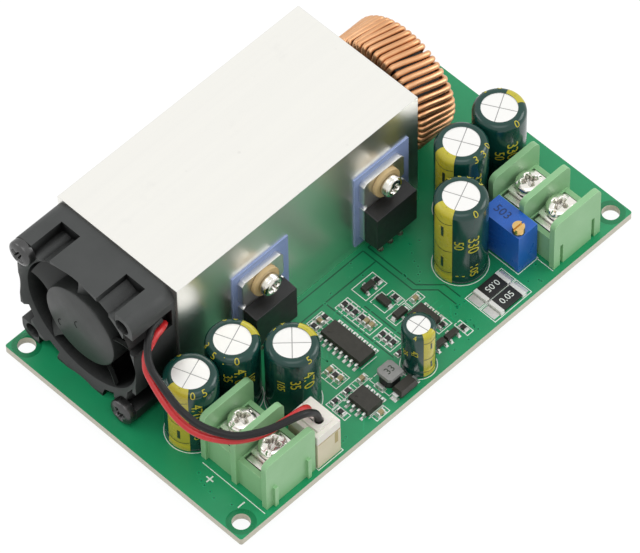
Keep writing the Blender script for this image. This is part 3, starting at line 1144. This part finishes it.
@dataclass
class Capacitor:
    """One electrolytic capacitor's shrunk sleeve with its print, and the scored vent in its can."""

    paint: Paint
    key: str
    stripe_at: float
    vent_at: float
    columns: tuple
    rim: tuple
    stripe_w: float = 52
    skin: float = 0.025
    wall: float = 0.12
    mouth: float = 0.68
    score: float = 0.09

    def build(self) -> None:
        """Makes the sleeve, its stripe and figures, and the vent."""
        low, high = box_of(f"capacitor_sleeve_{self.key}")
        self.centre, self.radius = (low + high) / 2, (high.x - low.x) / 2
        self.foot, self.head = low.z, high.z
        self.round = min(1.25, self.radius * 0.26)
        self._sleeve()
        self._can()
        self._print()
        self._vent()

    def _place(self) -> Matrix:
        """Where the sleeve's axis stands."""
        return move(self.centre.x, self.centre.y)

    def _profile(self, skin: float) -> list[tuple[float, float]]:
        """Radius and height of the sleeve's outside from its foot to its mouth, plus a skin."""
        r, z, b = self.radius, self.foot, self.round
        line = [(r - 0.1, z + 0.02), (r, z + 0.25), (r, z + 1.5), (r - 0.1, z + 1.8), (r - 0.1, z + 2.0),
            (r, z + 2.3)]
        line = [(a + skin, h) for a, h in line] + [(r + skin, self.head - b)]
        for k in range(1, 7):
            a = math.radians(15 * k)
            line.append((r - b + (b + skin) * math.cos(a), self.head - b + (b + skin) * math.sin(a)))
        return line + [(r * self.mouth, self.head - 0.04 + skin)]

    def _sleeve(self) -> None:
        """The sleeve itself, as a thin closed shell."""
        outside, inside = self._profile(0), self._profile(-self.wall)
        form = Form().lathe(outside + inside[::-1] + outside[:1], 120, self._place())
        form.piece(f"capacitor_skin_{self.key}", self.paint["Dark green sleeve"], slot="sleeve", smooth=50,
                   replaces=[f"capacitor_sleeve_{self.key}"])

    def _can(self) -> None:
        """The aluminium can, with the same rounded shoulder as its sleeve."""
        low, high = box_of(f"capacitor_can_{self.key}")
        r, b = self.radius - self.wall - 0.02, self.round
        shoulder = [(r - b + b * math.cos(math.radians(15 * k)),
            high.z - b + b * math.sin(math.radians(15 * k)))
                    for k in range(7)]
        line = [(0, low.z), (r - 0.6, low.z), (r, low.z + 0.5), *shoulder, (0, high.z)]
        form = Form().lathe(line, 96, self._place())
        form.piece(f"capacitor_shell_{self.key}", self.paint["Capacitor can"], slot="can", smooth=50,
                   replaces=[f"capacitor_can_{self.key}"])

    def _print(self) -> None:
        """Wraps the stripe, its minus signs and the plain figures round the sleeve."""
        yellow, dark = Form(), Form()
        outside, inside = self._profile(self.skin), self._profile(0.004)
        half, tall = self.stripe_w / 2, self.head - self.foot
        yellow.lathe(outside + inside[::-1] + outside[:1], 120, self._place(),
                     (self.stripe_at - half, self.stripe_at + half))
        for share in (0.27, 0.72):
            bar = self._bar(tall * 0.14, self.radius * 0.12)
            self._wrap(dark, bar, self.stripe_at + half * 0.1, self.foot + tall * share)
        for share in (0.16, 0.47, 0.87):
            line = self._bar(0.13, self.radius * math.radians(self.stripe_w) * 0.97)
            line.shape(lambda p: (p.x, p.y - 0.5 * math.cos(p.x * 0.75), p.z))
            self._wrap(dark, line, self.stripe_at, self.foot + tall * share)
        for angle, text, share, size in self.columns:
            figure = Form().join(lettering(text, self.radius * size, 0.95), turn(-90))
            self._wrap(yellow, figure, angle, self.foot + tall * share)
        for angle, text in self.rim:
            self._over_rim(yellow, lettering(text, self.radius * 0.27), angle)
        self._over_rim(dark, Form().block((-0.17, -self.round * 0.8, 0), (0.17, self.round * 0.9, 0.02)),
            self.stripe_at)
        yellow.piece(f"capacitor_print_{self.key}", self.paint["Yellow sleeve print"], slot="sleeve")
        dark.piece(f"capacitor_marks_{self.key}", self.paint["Dark sleeve mark"], slot="sleeve")

    @staticmethod
    def _bar(height: float, width: float) -> Form:
        """A flat bar, finely divided across so that it can bend."""
        form, n = Form(), 14
        for i in range(n):
            form.block((-width / 2 + width * i / n, -height / 2, 0),
                (-width / 2 + width * (i + 1) / n, height / 2, 0.02))
        return form

    def _wrap(self, into: Form, flat: Form, angle: float, z: float) -> None:
        """Bends a flat form round the sleeve.

        Args:
            into: form that takes the result.
            flat: form in the XY plane, X round the sleeve and Y up it.
            angle: where its middle lies round the sleeve, in degrees.
            z: height of its middle.
        """
        r = self.radius + self.skin * 1.5

        def bend(p: Vector) -> tuple[float, float, float]:
            """Point on the sleeve for a point of the flat form."""
            a = math.radians(angle) + p.x / r
            return ((r + p.z) * math.cos(a), (r + p.z) * math.sin(a), z + p.y)

        into.join(Form().join(flat).shape(bend), self._place())

    def _over_rim(self, into: Form, flat: Form, angle: float) -> None:
        """Bends a flat form over the sleeve's rounded shoulder, its top towards the can.

        Args:
            into: form that takes the result.
            flat: form in the XY plane.
            angle: where it lies round the sleeve, in degrees.
        """
        b, r = self.round, self.radius
        ring = r - b * 0.45

        def bend(p: Vector) -> tuple[float, float, float]:
            """Point on the shoulder for a point of the flat form."""
            along = b * math.radians(52) - p.y
            lift = self.skin * 1.6 + p.z
            if along < 0:
                out, z = r - b + along, self.head + lift
            else:
                t = along / b
                out, z = r - b + (b + lift) * math.sin(t), self.head - b + (b + lift) * math.cos(t)
            a = math.radians(angle) + p.x / ring
            return (out * math.cos(a), out * math.sin(a), z)

        into.join(Form().join(flat).shape(bend), self._place())

    def _vent(self) -> None:
        """Four slightly dished quarters with a scored cross between them."""
        top = box_of(f"capacitor_can_{self.key}")[1].z
        reach, w = self.radius * self.mouth + 0.1, self.score
        quarters, floor = Form(), Form()
        for k in range(4):
            def upper(u: float, v: float, lift: float = 0.07) -> tuple[float, float, float]:
                """Point of a quarter for shares of its radius and angle."""
                rr = w * 1.5 + (reach - w * 1.5) * u
                edge = math.asin(min(1.0, w / rr))
                a = edge + (math.pi / 2 - 2 * edge) * v
                return (rr * math.cos(a), rr * math.sin(a), top + lift * (1 - 0.35 * u * u))

            quarters.slab(6, 10, upper, lambda u, v: (*upper(u, v)[:2], top + 0.01),
                          self._place() @ turn(self.vent_at + 90 * k))
        floor.lathe([(0, top + 0.004), (reach, top + 0.004), (reach, top + 0.012), (0, top + 0.012)], 48,
            self._place())
        quarters.piece(f"capacitor_vent_{self.key}", self.paint["Capacitor can"], slot="can", smooth=30)
        floor.piece(f"capacitor_score_{self.key}", self.paint["Groove in the can"], slot="can")


# ---------------------------------------------------------------- choke


@dataclass
class Choke:
    """The toroid's winding as a smooth round wire, along the same turns as the CAD node's."""

    paint: Paint
    wire_d: float = 1.15
    turns: int = 42
    core_od: float = 22.8
    core_id: float = 14.0
    core_w: float = 7.0
    seat_gap: float = 0.1
    layer_gap: float = 0.05
    span: float = 330
    crowd: float = 9
    lead_reach: float = 0.4
    corner: float = 1.0
    sides: int = 14
    sway: float = 1.0
    seed: int = 11
    advance: tuple[float, float, float, float] = (0, -0.05, -0.15, -0.25)

    def build(self) -> None:
        """Replaces the plain winding by a smooth one."""
        low, high = box_of("choke_core")
        self.middle = (low + high) / 2
        r = self.wire_d / 2
        self.side = self.core_w / 2 + r + self.seat_gap
        self.out = self.core_od / 2 + r + self.seat_gap
        self.inner = self.core_id / 2 - r - self.seat_gap
        path, around = [], []
        rng = random.Random(self.seed)
        for t in range(self.turns):
            outline = self._outline(t % 2 == 1)
            sways = [math.radians(rng.uniform(-1, 1) * self.sway) for _ in range(2)]
            for k, uv in enumerate(outline):
                quarter = k // 6
                a = self._angle(t + self.advance[quarter]) + (sways[quarter // 3] if quarter in (0, 3) else 0)
                path.append(self._point(uv, a))
                around.append(a)
        lead = math.radians(self.span / 2)
        foot, board = box_of("choke_winding")[0].z, box_of("circuit_board")[1].z
        ends = []
        for s in (-1, 1):
            y = self.middle.y + s * self.out * math.sin(math.pi - lead)
            x = self.middle.x + s * (self.side + self.lead_reach)
            ends.append([(x, y, foot), (x, y, board), (x, y, board + 0.6)])
        path = ends[0] + path + ends[1][::-1]
        around = [around[0]] * 3 + around + [around[-1]] * 3
        smooth = self._relax([Vector(p) for p in path])
        up = [(0, math.cos(a), -math.sin(a)) for a in around]
        form = Form().tube(smooth, r, self.sides, up)
        form.piece("choke_wire", self.paint["Enamelled copper"], slot="copper_wire", smooth=60,
            replaces=["choke_winding"])

    @staticmethod
    def _relax(points: list[Vector]) -> list[Vector]:
        """Evens out small corners in the path, and keeps its ends."""
        out = list(points)
        for i in range(3, len(points) - 3):
            out[i] = points[i] * 0.5 + (points[i - 1] + points[i + 1]) * 0.25
        return out

    def _angle(self, t: float) -> float:
        """Angle of the winding at turn t, from the core's top, in radians."""
        u = t / self.turns
        return math.radians(-self.span / 2 + self.span * u + self.crowd * math.sin(2 * math.pi * u))

    def _outline(self, over: bool) -> list[tuple[float, float]]:
        """One turn as (along the core's axis, radius); every other turn lies over its neighbours inside."""
        b, lift = self.corner, (self.wire_d + self.layer_gap) if over else 0

        def arc(x: float, y: float, a0: float, a1: float) -> list[tuple[float, float]]:
            """Six points round a corner."""
            return [(x + b * math.cos(math.radians(a0 + (a1 - a0) * k / 5)),
                     y + b * math.sin(math.radians(a0 + (a1 - a0) * k / 5))) for k in range(6)]

        side, out, inner = self.side, self.out, self.inner
        return (arc(b - side, out - b, 90, 180) + arc(b - side - lift, inner - lift + b, 150, 270)
                + arc(side + lift - b, inner - lift + b, -90, 30) + arc(side - b, out - b, 0, 90))

    def _point(self, uv: tuple[float, float], a: float) -> tuple[float, float, float]:
        """Place of an outline's point in the row frame."""
        return (self.middle.x + uv[0], self.middle.y + uv[1] * math.sin(a),
            self.middle.z + uv[1] * math.cos(a))


# ---------------------------------------------------------------- screws


class Drive(Enum):
    """How a screw's recess is cut."""

    CROSS = "cross"
    CROSS_AND_SLOT = "cross and slot"


@dataclass
class PanHead:
    """A domed screw head with a tapered cross recess, cut as part of its mesh."""

    radius: float
    height: float
    drive: Drive = Drive.CROSS
    deep: float = 0.62
    rings: int = 40
    steps: int = 144

    def form(self) -> Form:
        """The head as a form, standing on Z = 0."""
        r, h, n = self.radius, self.height, self.steps
        points, faces = [], []
        for i in range(self.rings + 1):
            rr = r * (i / self.rings) ** 0.85
            for k in range(n):
                x, y = rr * math.cos(2 * math.pi * k / n), rr * math.sin(2 * math.pi * k / n)
                points.append((x, y, self._top(x, y)))
        for rr, z in ((r, h * 0.12), (r * 0.985, 0.0)):
            points += [(rr * math.cos(2 * math.pi * k / n), rr * math.sin(2 * math.pi * k / n),
                z) for k in range(n)]
        for i in range(self.rings + 2):
            for k in range(n):
                j = (k + 1) % n
                faces.append((i * n + k, (i + 1) * n + k, (i + 1) * n + j, i * n + j))
        faces.append(tuple((self.rings + 2) * n + k for k in range(n))[::-1])
        return Form().add(points, faces)

    @staticmethod
    def _ease(t: float) -> float:
        """A smooth step from 0 to 1."""
        t = min(1.0, max(0.0, t))
        return t * t * (3 - 2 * t)

    def _top(self, x: float, y: float) -> float:
        """Height of the head's surface at a point, recess included."""
        r, h = self.radius, self.height
        d = math.hypot(x, y)
        dome = h * (0.6 + 0.4 * math.sqrt(max(0.0, 1 - (d / r) ** 3.4)))
        depth = self._ease((r * 0.36 - d) / (r * 0.3))
        for u, v in ((x, y), (y, x)):
            arm = self._ease((r * 0.66 - abs(u)) / (r * 0.4)) * self._ease((r * 0.25 - abs(v)) / (r * 0.2))
            depth = 1 - (1 - depth) * (1 - arm)
        if self.drive is Drive.CROSS_AND_SLOT:
            notch = self._ease((abs(x) - r * 0.66) / (r * 0.16)) * self._ease((r * 0.2 - abs(y)) / (r * 0.14))
            depth = max(depth, 0.3 * notch)
        return dome - h * self.deep * depth


@dataclass
class TerminalScrew:
    """One terminal's screw with its arched clamp plate and spring washer."""

    paint: Paint
    node: str
    body: str
    spin: float
    half_x: float = 2.9
    half_y: float = 2.6
    thick: float = 0.6
    arch: float = 0.32

    def build(self) -> None:
        """Replaces the plain screw and plate by detailed ones."""
        low, high = box_of(self.node)
        centre = (low + high) / 2
        place = move(centre.x, centre.y, low.z if high.z - low.z < 4 else high.z - 3.02)
        form = Form().slab(28, 8, lambda u, v: self._plate(u, v, self.thick), lambda u,
            v: self._plate(u, v, 0), place)
        shank = [(0, -4.0), (1.25, -4.0), (1.45, -3.7)]
        shank += [(1.45 - 0.14 * (i % 2), -3.6 + 0.25 * i) for i in range(18)] + [(1.4, 1.0), (0, 1.0)]
        form.lathe(shank, 32, place)
        base = self.arch + self.thick
        form.lathe([(1.5, base - 0.1), (2.45, base), (2.5, base + 0.1), (2.5, base + 0.24), (2.4, base + 0.3),
                    (1.5, base + 0.3), (1.5, base - 0.1)], 48, place)
        head = PanHead(2.62, 2.0, Drive.CROSS_AND_SLOT).form()
        form.join(head, place @ move(0, 0, base + 0.3) @ turn(self.spin))
        form.piece(f"{self.node}_detail", self.paint["Nickel plate"], self.body, "nickel", smooth=40,
            replaces=[self.node])

    def _plate(self, u: float, v: float, lift: float) -> tuple[float, float, float]:
        """Point of the arched clamp plate, with two pressed ribs near each end."""
        x, y = self.half_x * (2 * u - 1), self.half_y * (2 * v - 1)
        far = abs(2 * u - 1)
        rib_height, rib_width, inner, outer = 0.09, 0.05, 0.72, 0.9
        ribs = rib_height * (
            math.exp(-((far - inner) / rib_width) ** 2) + math.exp(-((far - outer) / rib_width) ** 2)
        ) if lift else 0
        return (x, y, self.arch * (1 - far ** 3) + lift + ribs)


@dataclass
class TransistorScrews:
    """The two screws that hold the transistors, with cross recesses that show."""

    paint: Paint
    spins: tuple[float, float] = (18, -14)

    def build(self) -> None:
        """Replaces both plain screws."""
        form = Form()
        for (low, high), spin in zip(islands("transistor_screws"), self.spins):
            centre = (low + high) / 2
            radius = (high.x - low.x) / 2
            place = move(centre.x, low.y + 2.1, centre.z) @ turn(90, "X")
            form.join(PanHead(radius * 0.8, 1.9).form(), place @ turn(spin))
            form.lathe([(0, -6), (1.3, -6), (1.45, -5.7), (1.45, 0.05), (0, 0.05)], 32, place)
        form.piece("transistor_screws_detail", self.paint["Zinc plate"], slot="zinc_screw", smooth=40,
                   replaces=["transistor_screws"])


# ---------------------------------------------------------------- wires


@dataclass
class FanWire:
    """One of the fan's two wires, on the CAD route."""

    paint: Paint
    name: str
    node: str
    finish: str
    slot: str
    route: Sequence[Point]
    length: float
    diameter: float = 1.4
    spans: int = 5

    def build(self, plug: Optional[bpy.types.Object] = None) -> bpy.types.Object:
        """Args:
            plug: the connector half on the wire's end, if this wire stands for it.
        Returns:
            The curve object.
        """
        path = self._smooth()
        data = bpy.data.curves.new(self.name, "CURVE")
        data.dimensions = "3D"
        data.bevel_depth = self.diameter / 2 * MM
        data.bevel_resolution = 5
        data.use_fill_caps = True
        spline = data.splines.new("POLY")
        spline.points.add(len(path) - 1)
        for point, p in zip(spline.points, path):
            point.co = (*(p * MM), 1)
        spline.use_smooth = True
        data.materials.append(self.paint[self.finish])
        wire = bpy.data.objects.new(self.name, data)
        bpy.context.scene.collection.objects.link(wire)
        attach(wire, "module")
        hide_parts(self.node)
        LOG.info("%s: %.1f mm long", self.name, self.length)
        return wire

    def _smooth(self) -> list[Vector]:
        """Points on the smooth curve through the route."""
        p = [Vector(q) for q in self.route]
        out = []
        for i in range(len(p) - 1):
            a, b, c, d = p[max(i - 1, 0)], p[i], p[i + 1], p[min(i + 2, len(p) - 1)]
            for k in range(self.spans):
                t = k / self.spans
                out.append(0.5 * (2 * b + (c - a) * t + (2 * a - 5 * b + 4 * c - d) * t * t
                                  + (3 * b - a - 3 * c + d) * t ** 3))
        return out + [p[-1]]


# ---------------------------------------------------------------- small parts


@dataclass
class Marks:
    """Plain figures and small moulded marks on the parts."""

    paint: Paint

    def build(self) -> None:
        """Adds the marks of each part."""
        self._shunts()
        self._coil()
        self._trimmer()
        self._hub()
        self._chips()

    def _shunts(self) -> None:
        """White figures and silver ends on the two current shunts."""
        form, ends = Form(), Form()
        for (low, high), facing in zip(sorted(islands("shunt_resistors"), key=lambda b: b[0].y), (0, 180)):
            centre = (low + high) / 2
            form.join(lettering("0.05", 1.3), move(centre.x, centre.y, high.z + 0.005) @ turn(facing))
            for x0, x1 in ((low.x - 0.75, low.x + 0.12), (high.x - 0.12, high.x + 0.75)):
                ends.block((x0, low.y - 0.04, low.z + 0.04), (x1, high.y + 0.04, high.z + 0.05))
        form.piece("shunt_figures", self.paint["White board print"])
        ends.piece("shunt_ends", self.paint["Silver end"], slot="solder", bevel=0.08)

    def _coil(self) -> None:
        """The small power inductor: a ground top flange over a dark drum, with a plain figure."""
        low, high = box_of("power_inductor")
        centre = (low + high) / 2
        half = (high.x - low.x) / 2
        place = move(centre.x, centre.y)
        drum, flange = Form(), Form()
        drum.lathe([(0, low.z), (half * 0.9, low.z + 0.02), (half * 0.9, low.z + 0.8),
            (half * 0.8, low.z + 1.05),
                    (half * 0.8, high.z - 0.9), (0, high.z - 0.8)], 64, place)
        nick, side = half * 0.66, half * 0.88
        corner = [(side, -nick), (side, nick), (side * 0.88, nick + half * 0.06),
            (nick + half * 0.06, side * 0.88)]
        outline = [(turn(90 * k) @ Vector((x, y, 0)))[:2] for k in range(4) for x, y in corner]
        flange.prism(outline, high.z - 0.95, high.z, place)
        drum.piece("power_inductor_drum", self.paint["Coated ferrite"], slot="ferrite", smooth=40,
                   replaces=["power_inductor"])
        flange.piece("power_inductor_flange", self.paint["Ground ferrite"], slot="ferrite", bevel=0.14)
        form = Form().join(lettering("33", 1.4), place @ move(0, 0, high.z + 0.005))
        form.piece("power_inductor_figure", self.paint["Dark sleeve mark"])

    def _trimmer(self) -> None:
        """A dark figure on the trimmer's top."""
        low, high = box_of("trimmer_case")
        centre = (low + high) / 2
        form = Form().join(lettering("503", 1.7), move(centre.x, centre.y + 1.6, high.z + 0.005) @ turn(-90))
        form.piece("trimmer_figure", self.paint["Dark case print"])

    def _hub(self) -> None:
        """Two short moulded marks on the rotor's hub."""
        low, high = box_of("fan_impeller")
        centre = (low + high) / 2
        form = Form()
        for dy, dz in ((0.2, -0.2), (4.6, -3.6)):
            place = move(low.x, centre.y + dy, centre.z + dz) @ turn(-90, "Y")
            form.lathe([(0.95, 0), (1.15, 0), (1.15, 0.03), (0.95, 0.03), (0.95, 0)], 32, place, (20, 150))
        form.piece("fan_hub_marks", self.paint["Moulding mark"], "rotor", "fan_plastic")

    def _chips(self) -> None:
        """Moulded bodies with drafted sides."""
        bodies = Form()
        for low, high in islands("small_semiconductors"):
            x, y, big = (high.x - low.x) / 2, (high.y - low.y) / 2, high.z > 3
            draft = 0.3 if big else 0.12
            place = move((low.x + high.x) / 2, (low.y + high.y) / 2)
            part = low.z + (high.z - low.z) * 0.5
            for z0, z1, at_foot, at_top in ((low.z, part, draft, 0), (part, high.z, 0, draft)):
                rings = [[(x - d, y - d), (d - x, y - d), (d - x, d - y), (x - d, d - y)] for d in (at_foot,
                    at_top)]
                points = [(*p, z0) for p in rings[0]] + [(*p, z1) for p in rings[1]]
                faces = [(3, 2, 1, 0), (4, 5, 6, 7)] + [(k, (k + 1) % 4, (k + 1) % 4 + 4,
                    k + 4) for k in range(4)]
                bodies.add(points, faces, place)
        bodies.piece("small_semiconductor_bodies", self.paint["Small epoxy body"], slot="epoxy", bevel=0.05,
                     replaces=["small_semiconductors"])


# ---------------------------------------------------------------- fan and connector


@dataclass
class Impeller:
    """The fan's rotor: a cup with broad, strongly pitched and cambered blades."""

    paint: Paint
    hub_r: float = 8.6
    wall: float = 0.8
    tip_gap: float = 0.5
    count: int = 5
    first: float = 13
    sweep: float = 50
    twist: float = 0.8
    thick: float = 0.8

    def build(self) -> None:
        """Replaces the plain rotor."""
        low, high = box_of("fan_impeller")
        centre = (low + high) / 2
        self.deep, self.tip = high.x - low.x, (high.y - low.y) / 2
        place = move(low.x, centre.y, centre.z) @ turn(90, "Y") @ turn(90)
        form = Form()
        r, w, d = self.hub_r, self.wall, self.deep
        form.lathe([(0, 0), (r - 0.5, 0), (r - 0.12, 0.14), (r, 0.45), (r, d), (r - w, d), (r - w, w),
            (0, w)], 96, place)
        for k in range(self.count):
            spin = turn(self.first + 360 / self.count * k)
            form.slab(14, 12, lambda u, v: self._blade(u, v, 0), lambda u, v: self._blade(u, v, self.thick),
                place @ spin)
        form.piece("fan_rotor", self.paint["Rotor plastic"], "rotor", "fan_plastic", smooth=40,
                   replaces=["fan_impeller"])

    def _blade(self, u: float, v: float, lift: float) -> tuple[float, float, float]:
        """Point of a blade: u from its root to its tip, v from its front edge to its back one."""
        r = self.hub_r - 0.3 + (self.tip - self.hub_r + 0.3) * u
        front = 0.5 + 1.1 * u * (1 - u)
        z = front + (self.deep - front - self.thick) * (v ** 1.25) + lift
        a = math.radians(self.sweep * v * (1 - (1 - self.twist) * u) + 4 * math.sin(math.pi * u / 2))
        return (r * math.cos(a), r * math.sin(a), z)


@dataclass
class FanScrews:
    """The two black screws through the fan's corners."""

    paint: Paint
    spins: tuple[float, float] = (25, 60)

    def build(self) -> None:
        """Replaces the plain screws."""
        form = Form()
        for (low, high), spin in zip(islands("fan_screws"), self.spins):
            centre, radius = (low + high) / 2, (high.y - low.y) / 2
            place = move(low.x + 2.1, centre.y, centre.z) @ turn(-90, "Y")
            form.join(PanHead(radius, 2.1).form(), place @ turn(spin))
            form.lathe([(0, low.x + 2.1 - high.x), (1.3, low.x + 2.1 - high.x), (1.45, low.x + 2.5 - high.x),
                        (1.45, 0.05), (0, 0.05)], 32, place)
        form.piece("fan_screws_detail", self.paint["Blackened screw"], slot="black_screw", smooth=40,
                   replaces=["fan_screws"])


@dataclass
class Connector:
    """Small features of the fan's connector: wire holes, latch lobes, slot and rim line."""

    paint: Paint
    pitch: float = 2.5

    def build(self) -> None:
        """Adds the features."""
        low, high = box_of("fan_plug")
        base = box_of("fan_header")
        mid_x, mid_y = (low.x + high.x) / 2, (low.y + high.y) / 2
        holes, lobes, slot, glint = Form(), Form(), Form(), Form()
        plate = base[1].z + 0.75
        for k in (-1, 1):
            ring = [(0.72, 0), (1.02, 0), (1.02, 0.03), (0.72, 0.03), (0.72, 0)]
            top = 9.92
            holes.lathe(ring, 32, move(mid_x, mid_y + k * self.pitch / 2, top))
        lobes.block((mid_x - 1.9, high.y - 1.0, plate - 0.6), (mid_x - 0.5, high.y - 0.05, plate + 1.7))
        lobes.block((mid_x + 0.5, high.y - 1.0, plate - 0.6), (mid_x + 1.9, high.y - 0.05, plate + 1.7))
        slot.block((base[1].x - 1.5, base[0].y - 0.02, base[1].z - 3.4),
            (base[1].x - 0.7, base[0].y + 0.1, base[1].z - 0.3))
        slot.block((base[0].x + 0.2, base[0].y - 0.02, base[1].z - 0.12),
            (base[1].x - 0.1, base[0].y + 0.1, base[1].z + 0.02))
        glint.lathe([(0, 0), (0.3, 0), (0.26, 0.05), (0, 0.05)], 16,
            move(mid_x - 0.45, mid_y - self.pitch / 2 - 0.72, 9.93))
        holes.piece("plug_hole_rims", self.paint["Moulding mark"], slot="white_plastic")
        lobes.piece("plug_latch_lobes", self.paint["White housing"], slot="white_plastic", bevel=0.3)
        slot.piece("header_slot", self.paint["Housing slot"], slot="ivory_plastic")
        glint.piece("plug_contact_tip", self.paint["Turned brass"], slot="tinned_copper")


@dataclass
class FanFairings:
    """Small webs of the fan frame that carry its outline from each side to the corner lugs."""

    paint: Paint

    def build(self) -> None:
        """Adds one web at each pocket of the outer side and the underside."""
        low, high = box_of("fan_frame")
        centre = (low + high) / 2
        half = (high.y - low.y) / 2
        form = Form()
        corner = [(6.2, half - 0.04), (6.2, 12.5), (10.0, 9.9), (11.4, 10.9)]
        for angle, flip in ((0, 1), (0, -1), (270, 1), (270, -1)):
            outline = [(x * flip, y) for x, y in corner]
            outline = outline if flip < 0 else outline[::-1]
            place = move(low.x, centre.y, centre.z) @ turn(90, "Y") @ turn(90) @ turn(angle - 90)
            form.prism(outline, 1.3, 8.0, place)
        form.piece("fan_frame_webs", self.paint["Black fan plastic"], slot="fan_plastic", bevel=0.12)


# ---------------------------------------------------------------- main

BLACK_ROUTE = (
    (-38, 1.5, 25.1), (-40.44, 0.83, 25.75), (-41.89, -0.05, 25.8), (-42.87, -0.61, 25.54),
    (-43.7, -1.3, 24.97),
    (-44.49, -2.17, 24.26), (-45.15, -3.17, 23.76), (-45.86, -4.92, 23.21), (-46.3, -8.77, 21.23),
    (-46.95, -13, 20.78), (-46.1, -17.12, 19.42), (-43.53, -21.33, 18.37), (-40.74, -23.38, 17.82),
    (-37.15, -24.74, 17.14), (-33.16, -25.77, 16.89), (-30.16, -26.37, 16.27), (-27.86, -26.42, 14.08),
    (-27.14, -26.53, 11.9), (-27.09, -26.54, 10.59),
)
RED_ROUTE = (
    (-37, 1.5, 23), (-38.79, 0.52, 23.84), (-40.18, 0.15, 24.1), (-41.39, -0.24, 23.93),
    (-42.41, -0.52, 23.55),
    (-43.23, -0.76, 23.26), (-44.01, -1.16, 22.94), (-44.87, -1.93, 22.5), (-46.01, -3.72, 21.67),
    (-47.15, -9.13, 19.34), (-47.48, -13.54, 18.27), (-46.59, -17.15, 17.43), (-44.16, -20.54, 16.72),
    (-41.61, -22.55, 16.35), (-37.96, -23.86, 15.57), (-34.02, -24.55, 15.67), (-30.1, -24.9, 15.44),
    (-27.96, -24.46, 13.78), (-27.18, -24.08, 11.7), (-27.05, -24.01, 10.58),
)


CAPACITORS = (
    ("a", 194, 19.6, ((-124, "470", 0.72, 0.4), (-98, "35", 0.66, 0.34), (-124, "105", 0.3, 0.3)),
     ((90, "1"), (72, "0"), (-130, "0"), (-103, "5"))),
    ("b", -5, 21, ((-121, "470", 0.72, 0.44), (-146, "35", 0.7, 0.34), (-95, "105", 0.6, 0.3)),
     ((38, "0"), (63, "0"), (148, "3"), (180, "5"), (206, "1"), (235, "0"))),
    ("c", 2, 45.7, ((-100, "470", 0.66, 0.46), (-130, "35", 0.64, 0.38), (-160, "105", 0.6, 0.3)),
     ((66, "4"), (92, "7"), (265, "5"))),
    ("d", 180, 23, ((-141, "50", 0.58, 0.36), (-110, "330", 0.56, 0.46), (-138, "1", 0.12, 0.34),
        (-108, "105", 0.18, 0.34)),
     ((73, "3"), (48, "3"), (26, "0"), (-8, "5"), (258, "0"))),
    ("e", 182, 26.5, ((-104, "330", 0.66, 0.44), (-136, "50", 0.66, 0.36)),
        ((258, "3"), (282, "3"), (306, "0"))),
    ("f", -3, 28.5, ((-108, "330", 0.64, 0.46), (-136, "50", 0.6, 0.36), (-84, "105", 0.5, 0.32)),
     ((80, "5"), (43, "0"), (266, "0"))),
    ("g", 267, 8.7, ((-150, "47", 0.6, 0.42), (-184, "35", 0.55, 0.36)), ((212, "4"), (60, "7"))),
)


def main() -> None:
    """Builds the studio and every sub-assembly in order."""
    logging.basicConfig(level=logging.INFO, format="%(message)s")
    Studio().build()
    paint = Paint()
    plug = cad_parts["fan_plug"]
    FanWire(paint, "fan_lead_red", "fan_wire_red", "Red insulation", "red_insulation", RED_ROUTE,
        51.5).build(plug)
    FanWire(paint, "fan_lead_black", "fan_wire_black", "Black insulation", "black_insulation", BLACK_ROUTE,
        51.1).build(plug)
    paint.dress_nodes()
    BoardPrint(paint).build()
    for key, stripe, vent, columns, rim in CAPACITORS:
        Capacitor(paint, key, stripe, vent, columns, rim).build()
    Choke(paint).build()
    for node, body, spin in (
        ("input_screw_front", "input_clamp_front", 25), ("input_screw_back", "input_clamp_back", -10),
        ("output_screw_front", "output_clamp_front", 12), ("output_screw_back", "output_clamp_back", -28),
    ):
        TerminalScrew(paint, node, body, spin).build()
    TransistorScrews(paint).build()
    Impeller(paint).build()
    FanScrews(paint).build()
    FanFairings(paint).build()
    Connector(paint).build()
    Marks(paint).build()
    LOG.info("sizes written")


if __name__ == "__main__":
    main()
